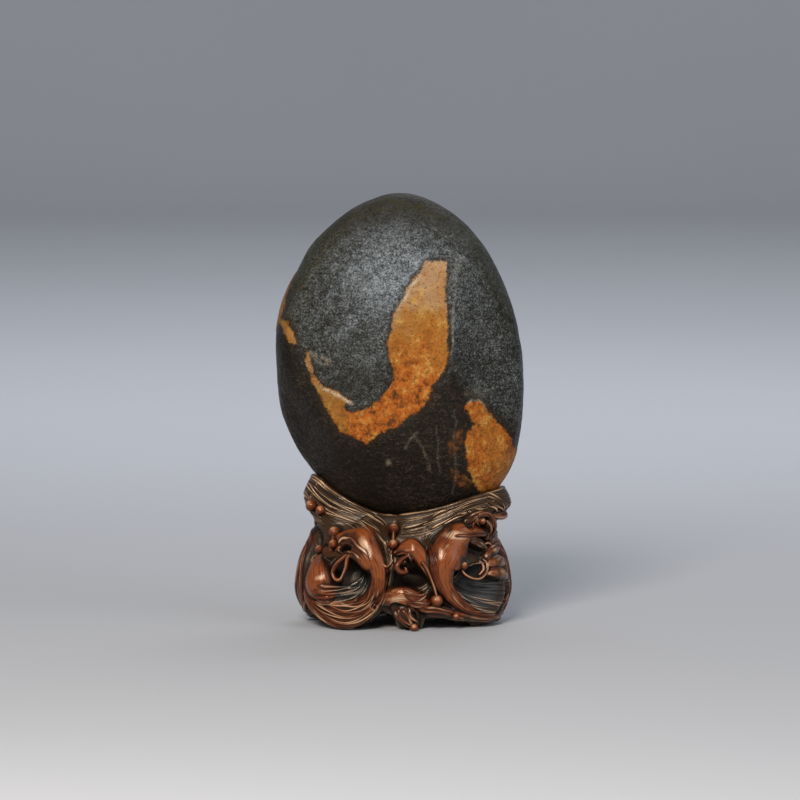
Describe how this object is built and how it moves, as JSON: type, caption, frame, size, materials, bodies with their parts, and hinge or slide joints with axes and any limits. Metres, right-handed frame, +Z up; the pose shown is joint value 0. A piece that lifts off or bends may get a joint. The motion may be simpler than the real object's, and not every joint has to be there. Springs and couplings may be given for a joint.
{
  "type": "scholar's rock on a carved stand",
  "caption": "Water-worn oval stone standing on end in a carved hardwood stand of breaking waves, whose collar is cut to fit the stone's foot.",
  "frame": {"origin": "middle of the object's outer box in plan, on the floor that the stand stands on", "axes": "+X to the right as seen from the front, +Y to the back, +Z up; the front with the ochre band faces -Y"},
  "size_m": [0.1501, 0.1024, 0.2603],
  "materials": {
    "stone": "satin, water-worn, near-black stone with ochre markings",
    "stand": "satin, dark red-brown carved hardwood with worn copper-brown edges"
  },
  "bodies": {
    "root": {"stone": "stone", "stand": "stand"}
  },
  "joints": []
}
